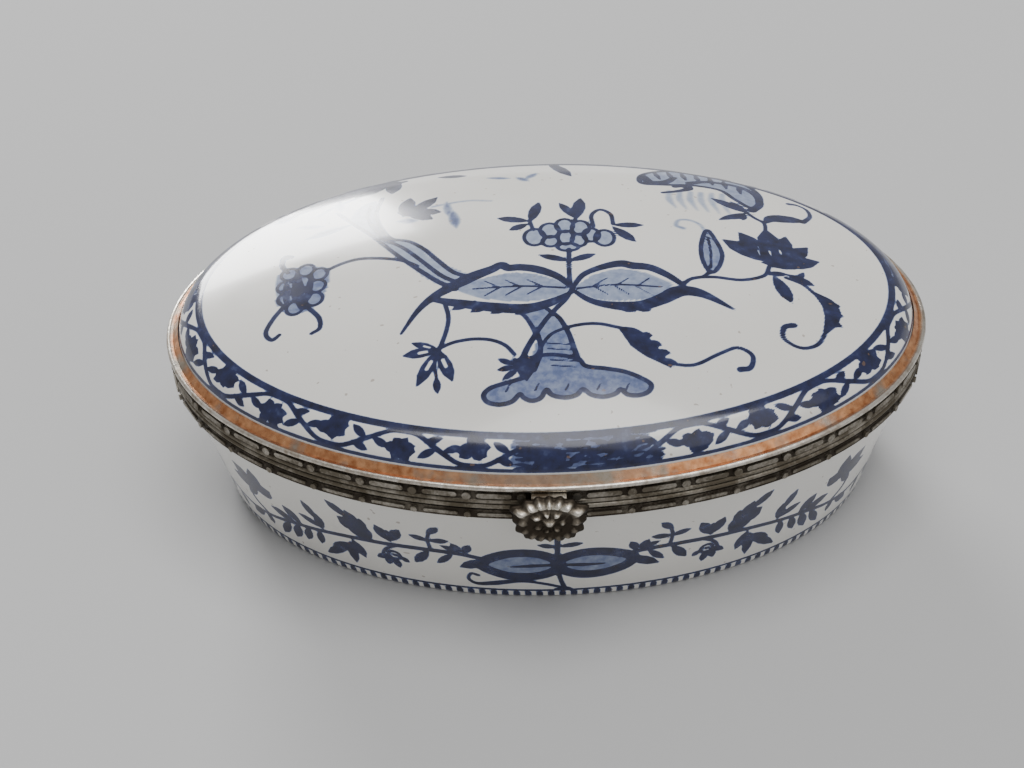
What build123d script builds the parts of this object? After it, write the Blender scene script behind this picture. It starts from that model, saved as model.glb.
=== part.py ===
"""An oval porcelain trinket box: a dish and a domed lid, each held in a metal mount, joined by a hinge.

The long axis is X, the clasp is at the front (-Y), the hinge at the back (+Y), and the box stands on
z = 0. Every outline round the rim is an oval, named by its inset from the lid's rolled lip.
"""

import os
from math import cos, radians, sin

from build123d import *

os.makedirs("parts", exist_ok=True)

# Driving dimensions, in millimetres.
LIP_HALF_LENGTH = 55.0  # the lid's rolled lip, the widest plain line of the box
LIP_HALF_WIDTH = 38.5
PARTING = 23.0  # the height where the lid's mount meets the dish's mount
PARTING_GAP = 0.1
LIP_HEIGHT = 25.9
CROWN_HEIGHT = 36.2
COLLAR_BOTTOM = 20.4

# Porcelain.
LID_EDGE_INSET = 1.8
SHOULDER_RADIUS = 5.2
SHOULDER_ANGLE = 70.0
SHOULDER_STEPS = 5
LID_SKIRT_TOP = 26.1
CROWN_POWER = 2.4  # how flat the crown is
CROWN_POINTS = 6
GLAZED_WALL = 2.6
FOOT_INSET = 7.0
DISH_EDGE_INSET = 1.75
DISH_TAPER_TOP = 20.0
DISH_FLOOR = 4.2
FOOT_RING_WIDTH = 3.0
FOOT_RECESS = 1.2
FOOT_ROUND = 0.8
FLOOR_ROUND = 3.0

# Mounts: a channel folded over each rim, with strips soldered on its outer wall.
WALL_INSET = 0.9
WALL = 0.6
SEAT = 0.45  # the thickness of each channel's flat seat
CHANNEL_INSIDE = 4.8  # inset of the channels' inner edge
CHANNEL_RETURN = 1.6  # how far the channels' inner edge reaches over the porcelain
CEMENT_GAP = 0.1
FLANGE_GAP = 0.06  # between the burnished flange and the porcelain
LIP_RADIUS = 0.4
FLANGE_ROOT = 0.3  # heights of the burnished flange above the lip: at its root, and at its thin edge
FLANGE_EDGE_TOP = 1.3
FLANGE_EDGE_BOTTOM = 0.95
REED_RADIUS = 0.4
REED_PROUD = 0.15  # how far the reed's middle stands off the wall
STRIP = 0.35
STRIP_HEIGHT = 1.5
LID_STRIP_BOTTOM = 23.92
BASE_STRIP_BOTTOM = COLLAR_BOTTOM + 0.1

# Ornament on the strips.
REPEATS = 40
DASH_LENGTH = 4.7
DASH_HEIGHT = 0.8
DASH_PROUD = 0.35
BOSS_RADIUS = 0.6
BASE_DASH_HEIGHT = 0.5
BASE_DASH_PROUD = 0.2
BASE_BOSS_RADIUS = 0.45
BOSS_PROUD = 0.2  # how far a boss stands beyond the dashes

# Hinge.
HINGE_LENGTH = 18.6
KNUCKLE_COUNT = 5
KNUCKLE_RADIUS = 1.1
KNUCKLE_GAP = 0.1
PIN_RADIUS = 0.45
PIN_FIT = 0.05
PIN_HEAD_RADIUS = 0.8
PIN_HEAD = 0.3
LEAF = 0.5
LEAF_HEIGHT = 2.2
LEAF_TO_AXIS = 0.8
HINGE_CLEARANCE = 0.12
OPEN_ANGLE = 100.0
HEEL_REACH = 2.0
HEEL = 0.75
HEEL_ROOT = 0.5

# Clasp.
ROSETTE_HALF_WIDTH = 5.3
ROSETTE_TOP = 26.1
ROSETTE_BOTTOM = 18.1
ROSETTE_BACK = 39.45  # distance of the rosette's back from the box's middle
ROSETTE_PLATE = 0.6
PETAL_COUNT = 10
PETAL_WIDTH = 2.3
PETAL_DEPTH = 0.9
BEAD_COUNT = 6
BEAD_RADIUS = 0.65
BEAD_RING = 1.35
HOOK = 0.5
HOOK_WIDTH = 4.6
HOOK_BOTTOM = 19.0
SOLDER_BOTTOM = 24.0
SOLDER_TOP = 25.4
CATCH_RADIUS = 0.6
CATCH_LENGTH = 3.0
CATCH_HEIGHT = 21.3
CATCH_FRONT = 38.8

# Worked-out places.
wall_half_length = LIP_HALF_LENGTH - WALL_INSET
wall_half_width = LIP_HALF_WIDTH - WALL_INSET
lid_seat = PARTING + PARTING_GAP / 2
base_seat = PARTING - PARTING_GAP / 2
hinge_y = wall_half_width + LEAF + LEAF_TO_AXIS
hinge_slot = HINGE_LENGTH + 0.8
knuckle_pitch = HINGE_LENGTH / KNUCKLE_COUNT


def oval(inset, mode=Mode.ADD):
    """Puts the oval at an inset from the lid's lip into the sketch that calls it."""
    return Ellipse(LIP_HALF_LENGTH - inset, LIP_HALF_WIDTH - inset, mode=mode)


def dome(depth, bottom):
    """The lid's outer form as a solid, shrunk by a depth under the glaze, down to a bottom height.

    It rises upright from the bottom, turns through the round shoulder, and closes over the flat crown.
    """
    radius = SHOULDER_RADIUS - depth
    centre = LID_EDGE_INSET + SHOULDER_RADIUS
    shoulder_inset = centre - radius * cos(radians(SHOULDER_ANGLE))
    shoulder_height = LID_SKIRT_TOP + radius * sin(radians(SHOULDER_ANGLE))
    half_length = LIP_HALF_LENGTH - shoulder_inset
    half_width = LIP_HALF_WIDTH - shoulder_inset
    rise = CROWN_HEIGHT - depth - shoulder_height
    shares = [index / CROWN_POINTS for index in range(CROWN_POINTS + 1)]
    curve = [(half_width * share, shoulder_height + rise * (1 - share**CROWN_POWER)) for share in shares]
    with BuildPart() as crown:
        with BuildSketch(Plane.XZ):
            with BuildLine():
                Spline(*curve, tangents=((1, 0), (half_width, -rise * CROWN_POWER)))
                Polyline(curve[-1], (half_width, bottom), (0, bottom), curve[0])
            make_face()
        revolve(axis=Axis.Z)
        scale(by=(half_length / half_width, 1, 1), mode=Mode.REPLACE)
    with BuildPart() as solid:
        with BuildSketch(Plane.XY.offset(bottom)):
            oval(centre - radius)
        extrude(amount=LID_SKIRT_TOP - bottom)
        for step in range(SHOULDER_STEPS + 1):
            turn = radians(SHOULDER_ANGLE * step / SHOULDER_STEPS)
            with BuildSketch(Plane.XY.offset(LID_SKIRT_TOP + radius * sin(turn))):
                oval(centre - radius * cos(turn))
        loft()
        add(crown.part)
    return solid


def ring_planes(phase, height, clasp_slot):
    """Planes on the strip's outer face, spaced evenly round it and facing outwards, clear of the slots."""
    planes = []
    for index in range(REPEATS):
        place = ((index + phase) / REPEATS) % 1
        along = wall_line % place
        outward = Vector(along.Y, -along.X, 0)
        origin = (wall_line @ place) + outward * STRIP + Vector(0, 0, height)
        slot = hinge_slot if origin.Y > 0 else clasp_slot
        if abs(origin.X) > slot / 2:
            planes.append(Plane(origin=origin, x_dir=along, z_dir=outward))
    return planes


# The line that the mounts follow: the foot of their outer wall.
with BuildLine() as wall_path:
    EllipticalCenterArc((0, 0), wall_half_length, wall_half_width, start_angle=0, arc_size=360)
wall_line = wall_path.wire()

# Lid porcelain: a skirt under a round shoulder and a crown, hollow underneath.
lid_edge = lid_seat + SEAT + CEMENT_GAP
with BuildPart() as lid_porcelain:
    add(dome(0, lid_edge).part)
    add(dome(GLAZED_WALL, lid_edge).part, mode=Mode.SUBTRACT)

# The hollow of the dish, with a round corner between its floor and its wall.
dish_edge = base_seat - SEAT - CEMENT_GAP
taper = (FOOT_INSET - DISH_EDGE_INSET) / DISH_TAPER_TOP
with BuildPart() as dish_hollow:
    for height in (DISH_FLOOR, DISH_TAPER_TOP):
        with BuildSketch(Plane.XY.offset(height)):
            oval(FOOT_INSET + GLAZED_WALL - taper * height)
    loft()
    fillet(dish_hollow.edges().group_by(Axis.Z)[0], FLOOR_ROUND)
    with BuildSketch(Plane.XY.offset(DISH_TAPER_TOP)):
        oval(DISH_EDGE_INSET + GLAZED_WALL)
    extrude(amount=dish_edge + 1 - DISH_TAPER_TOP)

# Dish porcelain: a tapering wall on a foot ring, with an upright edge inside the mount.
with BuildPart() as body_porcelain:
    for inset, height in ((FOOT_INSET, 0), (DISH_EDGE_INSET, DISH_TAPER_TOP)):
        with BuildSketch(Plane.XY.offset(height)):
            oval(inset)
    loft()
    fillet(body_porcelain.edges().group_by(Axis.Z)[0], FOOT_ROUND)
    with BuildSketch(Plane.XY.offset(DISH_TAPER_TOP)):
        oval(DISH_EDGE_INSET)
    extrude(amount=dish_edge - DISH_TAPER_TOP)
    with BuildSketch(Plane.XY):
        oval(FOOT_INSET + FOOT_RING_WIDTH)
    extrude(amount=FOOT_RECESS, mode=Mode.SUBTRACT)
    add(dish_hollow.part, mode=Mode.SUBTRACT)


def channel(seat, way, wall_end):
    """Outline of a mount's channel: outer wall, flat seat on the parting and inner return."""
    outer = LIP_HALF_LENGTH - WALL_INSET
    inner = LIP_HALF_LENGTH - CHANNEL_INSIDE
    return [
        (outer, seat),
        (outer, wall_end),
        (outer - WALL, wall_end),
        (outer - WALL, seat + way * SEAT),
        (inner + SEAT / 2, seat + way * SEAT),
        (inner + SEAT / 2, seat + way * CHANNEL_RETURN),
        (inner, seat + way * CHANNEL_RETURN),
        (inner, seat),
    ]


# Lid mount: the channel, with a lip rolled outwards and a flange burnished over the porcelain's edge.
flange_inner = LIP_HALF_LENGTH - LID_EDGE_INSET + FLANGE_GAP
flange_outer = LIP_HALF_LENGTH - WALL_INSET
with BuildPart() as lid_bezel:
    with BuildSketch(Plane.XZ):
        with BuildLine():
            Polyline(*channel(lid_seat, 1, LIP_HEIGHT - LIP_RADIUS / 2), close=True)
        make_face()
        with BuildLine():
            Polyline(
                (flange_outer - WALL, LIP_HEIGHT - LIP_RADIUS),
                (flange_outer, LIP_HEIGHT - LIP_RADIUS),
                (flange_outer, LIP_HEIGHT + FLANGE_ROOT),
                (flange_inner, LIP_HEIGHT + FLANGE_EDGE_TOP),
                (flange_inner, LIP_HEIGHT + FLANGE_EDGE_BOTTOM),
                close=True,
            )
        make_face()
        with Locations((LIP_HALF_LENGTH - LIP_RADIUS, LIP_HEIGHT)):
            Circle(LIP_RADIUS)
        with Locations((flange_outer, LIP_HEIGHT)):
            Rectangle(WALL, 1.8 * LIP_RADIUS)
    sweep(path=wall_line)

# Dish mount: the same channel, upside down over the dish's rim.
with BuildPart() as base_bezel:
    with BuildSketch(Plane.XZ):
        with BuildLine():
            Polyline(*channel(base_seat, -1, COLLAR_BOTTOM), close=True)
        make_face()
    sweep(path=wall_line)


def cement(porcelain, mount, bottom, top):
    """The cement that beds the porcelain's edge in its mount's channel."""
    with BuildPart() as bedding:
        with BuildSketch(Plane.XZ):
            inner = LIP_HALF_LENGTH - CHANNEL_INSIDE + SEAT / 2
            outer = LIP_HALF_LENGTH - WALL_INSET - WALL
            with Locations(((inner + outer) / 2, (bottom + top) / 2)):
                Rectangle(outer - inner, top - bottom)
        sweep(path=wall_line)
        add(porcelain.part, mode=Mode.SUBTRACT)
        add(mount.part, mode=Mode.SUBTRACT)
    return bedding


lid_cement = cement(lid_porcelain, lid_bezel, lid_seat + SEAT, lid_seat + CHANNEL_RETURN)
base_cement = cement(body_porcelain, base_bezel, base_seat - CHANNEL_RETURN, base_seat - SEAT)


def cut_strip(y, width, middle):
    """Cuts a piece out of a strip, at the back for the hinge or at the front for the clasp."""
    with Locations((0, y, middle)):
        Box(width, 4, 2 * STRIP_HEIGHT, mode=Mode.SUBTRACT)


def reed(height):
    """A half-round reed round the mount's wall."""
    with BuildPart() as strip:
        with BuildSketch(Plane.XZ):
            with Locations((LIP_HALF_LENGTH - WALL_INSET + REED_PROUD, height)):
                Circle(REED_RADIUS)
            with Locations((LIP_HALF_LENGTH - WALL_INSET, height)):
                Rectangle(REED_RADIUS, 2 * REED_RADIUS, align=(Align.MAX, Align.CENTER), mode=Mode.SUBTRACT)
        sweep(path=wall_line)
        cut_strip(wall_half_width, hinge_slot, height)
    return strip


lid_reed = reed(lid_seat + REED_RADIUS)
base_reed = reed(base_seat - REED_RADIUS)


def gallery(bottom, clasp_slot):
    """The plain strip round a mount's wall that carries the ornament."""
    middle = bottom + STRIP_HEIGHT / 2
    with BuildPart() as strip:
        with BuildSketch(Plane.XZ):
            with Locations((LIP_HALF_LENGTH - WALL_INSET, middle)):
                Rectangle(STRIP, STRIP_HEIGHT, align=(Align.MIN, Align.CENTER))
        sweep(path=wall_line)
        cut_strip(wall_half_width, hinge_slot, middle)
        cut_strip(-wall_half_width, clasp_slot, middle)
    return strip


def ornament(bottom, clasp_slot, dash_height, dash_proud, boss_radius):
    """The raised dashes and bosses that take turns along a strip."""
    middle = bottom + STRIP_HEIGHT / 2
    with BuildPart() as raised:
        with BuildSketch(*ring_planes(0, middle, clasp_slot)):
            SlotOverall(DASH_LENGTH, dash_height)
        extrude(amount=dash_proud)
        with BuildSketch(*ring_planes(0.5, middle, clasp_slot)):
            Circle(boss_radius)
        extrude(amount=dash_proud + BOSS_PROUD)
    return raised


lid_slot = HOOK_WIDTH + 0.2
base_slot = CATCH_LENGTH + 0.2
lid_gallery = gallery(LID_STRIP_BOTTOM, lid_slot)
base_gallery = gallery(BASE_STRIP_BOTTOM, base_slot)
lid_ornament = ornament(LID_STRIP_BOTTOM, lid_slot, DASH_HEIGHT, DASH_PROUD, BOSS_RADIUS)
base_ornament = ornament(BASE_STRIP_BOTTOM, base_slot, BASE_DASH_HEIGHT, BASE_DASH_PROUD, BASE_BOSS_RADIUS)


# Hinge: a leaf soldered on each mount's wall, with knuckles that take turns along one pin.
def knuckle_starts(first):
    """Where every other knuckle starts along X, beginning with the first one given."""
    return [
        -HINGE_LENGTH / 2 + index * knuckle_pitch + KNUCKLE_GAP / 2
        for index in range(first, KNUCKLE_COUNT, 2)
    ]


def hinge_leaf(bottom, own_first, other_first):
    """A leaf: flat outside, fitted to the oval wall inside, hollowed where the knuckles pass."""
    length = knuckle_pitch - KNUCKLE_GAP
    with BuildPart() as leaf:
        with BuildSketch(Plane.XY.offset(bottom)):
            with Locations((0, wall_half_width + LEAF)):
                Rectangle(HINGE_LENGTH, 2, align=(Align.CENTER, Align.MAX))
            oval(WALL_INSET, Mode.SUBTRACT)
        extrude(amount=LEAF_HEIGHT)
        for starts, radius, spare in (
            (knuckle_starts(own_first), KNUCKLE_RADIUS, 0),
            (knuckle_starts(other_first), KNUCKLE_RADIUS + HINGE_CLEARANCE, KNUCKLE_GAP),
        ):
            for start in starts:
                with BuildSketch(Plane.YZ.offset(start - spare)):
                    with Locations((hinge_y, PARTING)):
                        Circle(radius)
                extrude(amount=length + 2 * spare, mode=Mode.SUBTRACT)
    return leaf


base_hinge_leaf = hinge_leaf(base_seat - LEAF_HEIGHT, 0, 1)
lid_hinge_leaf = hinge_leaf(lid_seat, 1, 0)

with BuildPart() as base_hinge_knuckles:
    for start in knuckle_starts(0):
        with BuildSketch(Plane.YZ.offset(start)):
            with Locations((hinge_y, PARTING)):
                Circle(KNUCKLE_RADIUS)
                Circle(PIN_RADIUS, mode=Mode.SUBTRACT)
        extrude(amount=knuckle_pitch - KNUCKLE_GAP)

# Each lid knuckle has a heel that points backwards, and meets the dish's leaf when the lid is open.
open_turn = radians(OPEN_ANGLE)
with BuildPart() as lid_hinge_knuckles:
    for start in knuckle_starts(1):
        with BuildSketch(Plane.YZ.offset(start)):
            with Locations((hinge_y, PARTING)):
                Circle(KNUCKLE_RADIUS)
        extrude(amount=knuckle_pitch - KNUCKLE_GAP)
        heel_plane = Plane(
            origin=(start, hinge_y, PARTING),
            x_dir=(0, -cos(open_turn), -sin(open_turn)),
            z_dir=(-1, 0, 0),
        )
        with BuildSketch(heel_plane):
            with Locations((HEEL, -HEEL_ROOT)):
                Rectangle(HEEL, HEEL_REACH - HEEL_ROOT, align=(Align.MAX, Align.MAX))
        extrude(amount=KNUCKLE_GAP - knuckle_pitch)
        with BuildSketch(Plane.YZ.offset(start)):
            with Locations((hinge_y, PARTING)):
                Circle(PIN_RADIUS + PIN_FIT)
        extrude(amount=knuckle_pitch - KNUCKLE_GAP, mode=Mode.SUBTRACT)

with BuildPart() as hinge_pin:
    with BuildSketch(Plane.YZ.offset(-HINGE_LENGTH / 2)):
        with Locations((hinge_y, PARTING)):
            Circle(PIN_RADIUS)
    extrude(amount=HINGE_LENGTH)
    for start, way in ((-HINGE_LENGTH / 2, -1), (HINGE_LENGTH / 2, 1)):
        with BuildSketch(Plane.YZ.offset(start)):
            with Locations((hinge_y, PARTING)):
                Circle(PIN_HEAD_RADIUS)
        extrude(amount=way * PIN_HEAD)


# Clasp: a cast rosette on a springy hook that is soldered to the lid, over a catch on the dish.
def rosette_reach(angle):
    """How far the rosette reaches from its middle at an angle."""
    half_height = (ROSETTE_TOP - ROSETTE_BOTTOM) / 2
    across = cos(radians(angle)) / ROSETTE_HALF_WIDTH
    upward = sin(radians(angle)) / half_height
    return (across**2 + upward**2) ** -0.5


rosette_middle = (ROSETTE_TOP + ROSETTE_BOTTOM) / 2
with BuildPart() as clasp_rosette:
    with BuildSketch(Plane.XZ.offset(ROSETTE_BACK)):
        with Locations((0, rosette_middle)):
            Ellipse(rosette_reach(0) * 0.8, rosette_reach(90) * 0.8)
    extrude(amount=ROSETTE_PLATE)
    for index in range(PETAL_COUNT):
        angle = 90 + index * 360 / PETAL_COUNT
        reach = rosette_reach(angle)
        middle = reach * 0.6
        with BuildSketch(Plane.XZ.offset(ROSETTE_BACK)):
            with Locations((middle * cos(radians(angle)), rosette_middle + middle * sin(radians(angle)))):
                Ellipse(reach - middle, PETAL_WIDTH / 2, rotation=angle)
        extrude(amount=ROSETTE_PLATE + PETAL_DEPTH * (1 - 0.4 * (index % 2)))
    with Locations(Plane.XZ.offset(ROSETTE_BACK + ROSETTE_PLATE + PETAL_DEPTH / 2)):
        with Locations((0, rosette_middle)):
            Sphere(BEAD_RADIUS * 1.3)
            with PolarLocations(BEAD_RING, BEAD_COUNT):
                Sphere(BEAD_RADIUS)

with BuildPart() as clasp_hook:
    with BuildSketch(Plane.YZ.offset(-HOOK_WIDTH / 2)):
        with BuildLine():
            Polyline(
                (-ROSETTE_BACK, HOOK_BOTTOM),
                (-ROSETTE_BACK, SOLDER_TOP),
                (-wall_half_width + 1, SOLDER_TOP),
                (-wall_half_width + 1, SOLDER_BOTTOM),
                (HOOK - ROSETTE_BACK, SOLDER_BOTTOM),
                (HOOK - ROSETTE_BACK, HOOK_BOTTOM),
                close=True,
            )
        make_face()
    extrude(amount=HOOK_WIDTH)
    with BuildSketch(Plane.XY.offset(SOLDER_BOTTOM)):
        oval(WALL_INSET)
    extrude(amount=SOLDER_TOP - SOLDER_BOTTOM, mode=Mode.SUBTRACT)

with BuildPart() as clasp_catch:
    with BuildSketch(Plane.YZ.offset(-CATCH_LENGTH / 2)):
        with Locations((CATCH_RADIUS - CATCH_FRONT, CATCH_HEIGHT)):
            Circle(CATCH_RADIUS)
            Rectangle(1.5, 2 * CATCH_RADIUS, align=(Align.MIN, Align.CENTER))
    extrude(amount=CATCH_LENGTH)
    with BuildSketch(Plane.XY.offset(CATCH_HEIGHT - CATCH_RADIUS)):
        oval(WALL_INSET)
    extrude(amount=2 * CATCH_RADIUS, mode=Mode.SUBTRACT)


pieces = {
    "body_porcelain": body_porcelain,
    "base_cement": base_cement,
    "base_bezel": base_bezel,
    "base_gallery": base_gallery,
    "base_ornament": base_ornament,
    "base_reed": base_reed,
    "base_hinge_leaf": base_hinge_leaf,
    "base_hinge_knuckles": base_hinge_knuckles,
    "hinge_pin": hinge_pin,
    "clasp_catch": clasp_catch,
    "lid_porcelain": lid_porcelain,
    "lid_cement": lid_cement,
    "lid_bezel": lid_bezel,
    "lid_gallery": lid_gallery,
    "lid_ornament": lid_ornament,
    "lid_reed": lid_reed,
    "lid_hinge_leaf": lid_hinge_leaf,
    "lid_hinge_knuckles": lid_hinge_knuckles,
    "clasp_hook": clasp_hook,
    "clasp_rosette": clasp_rosette,
}
for label, piece in pieces.items():
    piece.part.label = label
    export_step(piece.part, f"parts/{label}.step")
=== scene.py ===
import math

import bmesh
import bpy
import numpy as np
from mathutils import Matrix, Vector


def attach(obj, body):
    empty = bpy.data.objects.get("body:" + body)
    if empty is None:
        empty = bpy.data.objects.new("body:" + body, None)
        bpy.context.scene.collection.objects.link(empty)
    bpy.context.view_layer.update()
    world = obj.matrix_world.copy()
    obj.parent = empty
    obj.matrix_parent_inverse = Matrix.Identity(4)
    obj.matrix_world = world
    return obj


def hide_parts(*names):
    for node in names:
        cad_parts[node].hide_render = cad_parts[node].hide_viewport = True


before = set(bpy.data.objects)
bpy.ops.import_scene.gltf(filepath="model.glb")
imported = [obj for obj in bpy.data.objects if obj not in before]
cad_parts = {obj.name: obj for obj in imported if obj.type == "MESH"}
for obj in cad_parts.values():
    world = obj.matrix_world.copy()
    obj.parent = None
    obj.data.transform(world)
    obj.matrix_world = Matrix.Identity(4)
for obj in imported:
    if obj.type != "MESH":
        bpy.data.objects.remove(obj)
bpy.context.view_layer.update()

MM = 0.001

# The camera, as distances in metres, angles in degrees and a lens in millimetres.
CAMERA_DISTANCE = 0.3218
CAMERA_ELEVATION = 40.07
CAMERA_ROLL = -1.31
CAMERA_PAN = -0.98
CAMERA_TILT = 1.89
CAMERA_LENS = 73.8

# The porcelain's form, in millimetres. Insets are measured from the lid's rolled lip.
HALF_LENGTH = 55.0
HALF_WIDTH = 38.5
WALL = 2.6
LID_EDGE = 23.6
SKIRT_TOP = 26.1
SHOULDER_INSET = 7.0
SHOULDER_RADIUS = 5.2
SHOULDER_ANGLE = 70.0
CROWN_HEIGHT = 36.2
CROWN_POWER = 2.4
DISH_EDGE = 22.4
DISH_EDGE_INSET = 1.75
DISH_TAPER_TOP = 20.0
FOOT_INSET = 7.0
FOOT_RING = 3.0
FOOT_RECESS = 1.2
FOOT_ROUND = 0.8
FLOOR = 4.2
FLOOR_ROUND = 3.0

# How finely the porcelain is divided.
CROWN_RINGS = 121
SHOULDER_RINGS = 26
SKIRT_RINGS = 3
DISH_SPOKES = 960
DISH_STEP = 0.3
PLAIN_SPARING = 4  # the plain inside has this many times fewer spokes
SOFT_EDGE = 0.6  # the width over which a stroke's strength fades across its edge
LINE_INK = 0.7  # strokes at least this dark are lines with a firm edge; paler ones are wash

# The painting.
BAND_MIDDLE_INSET = 3.7
BAND_INNER_LINE = 6.35  # places on the border are measured up the shoulder from its outer edge
BAND_OUTER_LINE = 1.55
BAND_MIDDLE = 3.9
VINE_SWING = 1.8
BLOSSOMS = 28
DISH_MIDDLE_INSET = 4.5
FOOT_TICK = 1.7
PALE = 0.36

# The clasp's rosette.
ROSETTE_BACK = 39.45
ROSETTE_PLATE = 0.45
ROSETTE_HEIGHT = 22.1
ROSETTE_HALF_WIDTH = 5.2
ROSETTE_HALF_HEIGHT = 4.1
ROSETTE_RIBS = 16
ROSETTE_BEADS = 7
ROSETTE_RINGS = 34
ROSETTE_SPOKES = 192


# --- Forms -----------------------------------------------------------------------------------------
def show(name, data):
    """An object in the scene for a mesh, a light or a camera."""
    made = bpy.data.objects.new(name, data)
    bpy.context.scene.collection.objects.link(made)
    return made


def oval(inset, height):
    """An oval ring: its two half axes and its height."""
    return (HALF_LENGTH - inset, HALF_WIDTH - inset, height)


def dome_rings(depth, crown_rings, shoulder_rings, skirt_rings):
    """The lid's rings from its middle to its edge, at a depth under the outer glaze."""
    radius = SHOULDER_RADIUS - depth
    turn = math.radians(SHOULDER_ANGLE)
    crown_inset = SHOULDER_INSET - radius * math.cos(turn)
    crown_foot = SKIRT_TOP + radius * math.sin(turn)
    rise = CROWN_HEIGHT - depth - crown_foot
    rings = []
    for index in range(crown_rings):
        share = index / crown_rings
        half_length, half_width, _ = oval(crown_inset, 0)
        height = crown_foot + rise * (1 - share**CROWN_POWER)
        rings.append((half_length * share, half_width * share, height))
    for index in range(shoulder_rings):
        angle = turn * (1 - index / shoulder_rings)
        inset = SHOULDER_INSET - radius * math.cos(angle)
        rings.append(oval(inset, SKIRT_TOP + radius * math.sin(angle)))
    for index in range(skirt_rings + 1):
        height = SKIRT_TOP + (LID_EDGE - SKIRT_TOP) * index / skirt_rings
        rings.append(oval(SHOULDER_INSET - radius, height))
    return rings


def rounded_profile(corners, step):
    """Points a step apart along a line of (inset, height, radius) corners, with each corner rounded."""
    bends = []
    for index, (inset, height, radius) in enumerate(corners):
        corner = Vector((inset, height))
        if radius == 0:
            bends.append([corner])
            continue
        back = (Vector(corners[index - 1][:2]) - corner).normalized()
        ahead = (Vector(corners[index + 1][:2]) - corner).normalized()
        half_angle = back.angle(ahead) / 2
        reach = radius / math.tan(half_angle)
        centre = corner + (back + ahead).normalized() * radius / math.sin(half_angle)
        first = corner + back * reach - centre
        last = corner + ahead * reach - centre
        pieces = max(2, round(first.angle(last) * radius / step))
        sweep = [first.slerp(last, part / pieces).normalized() for part in range(pieces + 1)]
        bends.append([centre + way * radius for way in sweep])
    points = [bends[0][0]]
    for bend in bends[1:]:
        pieces = max(1, round((bend[0] - points[-1]).length / step))
        start = points[-1]
        points += [start.lerp(bend[0], part / pieces) for part in range(1, pieces + 1)]
        points += bend[1:]
    return points


class Shell:
    """A closed mesh made of oval rings, with a round layout for the baked glaze."""

    def __init__(self):
        self.points = []
        self.angles = []
        self.layout = []
        self.faces = []
        self.bridges = set()

    def point(self, ring, angle, island):
        """One point of a ring. An island is the middle and the radius that the ring takes in the layout."""
        half_length, half_width, height = ring
        across, up, radius = island
        self.points.append((half_length * math.cos(angle), half_width * math.sin(angle), height))
        self.angles.append(angle)
        self.layout.append((across + radius * math.cos(angle), up + radius * math.sin(angle)))
        return len(self.points) - 1

    def ring(self, ring, count, island):
        """A ring of points, starting from the right-hand end."""
        return [self.point(ring, 2 * math.pi * index / count, island) for index in range(count)]

    def join(self, first, second):
        """Closes the strip between two rings. The first may have several times as many points."""
        ratio = len(first) // len(second)
        for index in range(len(second)):
            after = (index + 1) % len(second)
            along = [first[(index * ratio + part) % len(first)] for part in range(ratio + 1)]
            if ratio > 1:
                self.bridges.add(len(self.faces))
            self.faces.append(along + [second[after], second[index]])

    def band(self, rings, count, island, inner_radius):
        """Joined rings, laid out from an island's rim inwards to a radius; returns both end rings."""
        across, up, radius = island
        made = []
        for index, ring in enumerate(rings):
            share = index / (len(rings) - 1)
            made.append(self.ring(ring, count, (across, up, radius + (inner_radius - radius) * share)))
        for first, second in zip(made, made[1:]):
            self.join(first, second)
        return made[0], made[-1]

    def disc(self, rings, island):
        """Rings out from a middle point, on a square grid wrapped round so that its cells keep one size."""
        across, up, radius = island
        last = len(rings) - 1
        grid = {}
        rim = {}
        for row in range(-last, last + 1):
            for column in range(-last, last + 1):
                index = max(abs(row), abs(column))
                if index == 0:
                    angle = 0.0
                elif abs(column) >= abs(row):
                    angle = math.pi / 4 * row / column + (math.pi if column < 0 else 0)
                else:
                    angle = math.pi / 2 - math.pi / 4 * column / row + (math.pi if row < 0 else 0)
                made = self.point(rings[index], angle, (across, up, radius * index / last))
                grid[row, column] = made
                if index == last:
                    rim[round(angle / (math.pi / 4 / last)) % (8 * last)] = made
        for row in range(-last, last):
            for column in range(-last, last):
                corners = ((row, column), (row, column + 1), (row + 1, column + 1), (row + 1, column))
                self.faces.append([grid[corner] for corner in corners])
        return [rim[index] for index in range(8 * last)]

    def build(self, name, painted):
        """The mesh as an object, whose first points carry the painted strengths of line and wash."""
        mesh = bpy.data.meshes.new(name)
        mesh.from_pydata([Vector(point) * MM for point in self.points], [], self.faces)
        spots = mesh.uv_layers.new(name="OFBake").data
        for index, face in enumerate(mesh.polygons):
            for corner in face.loop_indices:
                source = face.loop_start if index in self.bridges else corner
                spots[corner].uv = self.layout[mesh.loops[source].vertex_index]
        for layer, strengths in painted.items():
            values = np.zeros(len(self.points))
            values[: len(strengths)] = strengths
            mesh.attributes.new(layer, "FLOAT", "POINT").data.foreach_set("value", values)
        mesh.shade_smooth()
        work = bmesh.new()
        work.from_mesh(mesh)
        bmesh.ops.recalc_face_normals(work, faces=work.faces)
        work.to_mesh(mesh)
        work.free()
        return show(name, mesh)


# --- Brushwork. Every place and width of a stroke is in millimetres. -------------------------------
def smooth_line(points, closed=False, steps=6):
    """A smooth line through points, as many short pieces."""
    points = np.array(points, float)
    if closed:
        padded = np.vstack([points[-1], points, points[:2]])
    else:
        padded = np.vstack([2 * points[0] - points[1], points, 2 * points[-1] - points[-2]])
    share = (np.arange(steps) / steps)[:, None]
    line = []
    for before, start, end, after in zip(padded, padded[1:], padded[2:], padded[3:]):
        bend = 2 * before - 5 * start + 4 * end - after
        twist = 3 * start - before - 3 * end + after
        line.append(0.5 * (2 * start + (end - before) * share + bend * share**2 + twist * share**3))
    line.append(padded[-2][None])
    return np.vstack(line)


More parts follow.
